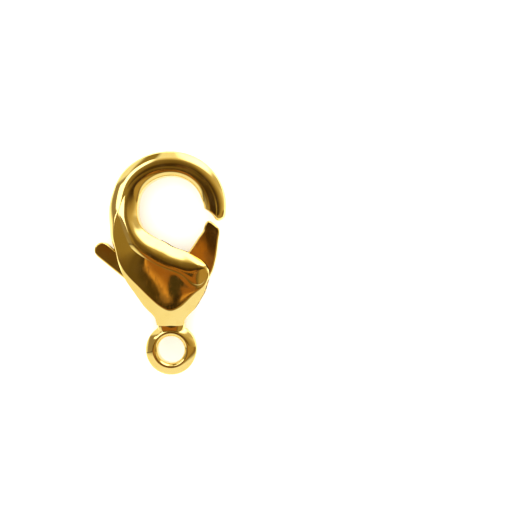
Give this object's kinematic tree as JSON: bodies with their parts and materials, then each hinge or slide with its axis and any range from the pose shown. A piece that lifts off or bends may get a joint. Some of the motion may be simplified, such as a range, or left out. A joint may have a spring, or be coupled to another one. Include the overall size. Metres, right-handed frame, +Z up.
{
  "type": "lobster clasp",
  "caption": "Lobster clasp in gold-plated brass: hook with hollow body, sprung lever gate with thumb tab, and an end ring.",
  "frame": {"origin": "centre of the clasp's outline seen from above, on the surface that its back plate lies on", "axes": "+X towards the gate, +Y along the clasp towards the top of the hook, +Z up out of the front face; the lever turns about +Z"},
  "size_m": [0.0088, 0.015, 0.0022],
  "materials": {
    "gold_plate": "polished gold plate",
    "brass_pin": "drawn",
    "spring_steel": "drawn wire"
  },
  "bodies": {
    "body": {"clasp_body": "gold_plate", "pivot_pin": "brass_pin", "return_spring": "spring_steel"},
    "gate_lever": {"lever": "gold_plate"}
  },
  "joints": [
    {"name": "lever_pivot", "type": "hinge", "parent": "body", "child": "gate_lever", "pos_m": [0.00074, -0.00226, 0.00112], "axis": [0, 0, 1], "range_deg": [0, 25], "stiffness_Nm_per_rad": 0.0001, "springref_deg": -34.38, "deforming": ["return_spring"]}
  ]
}
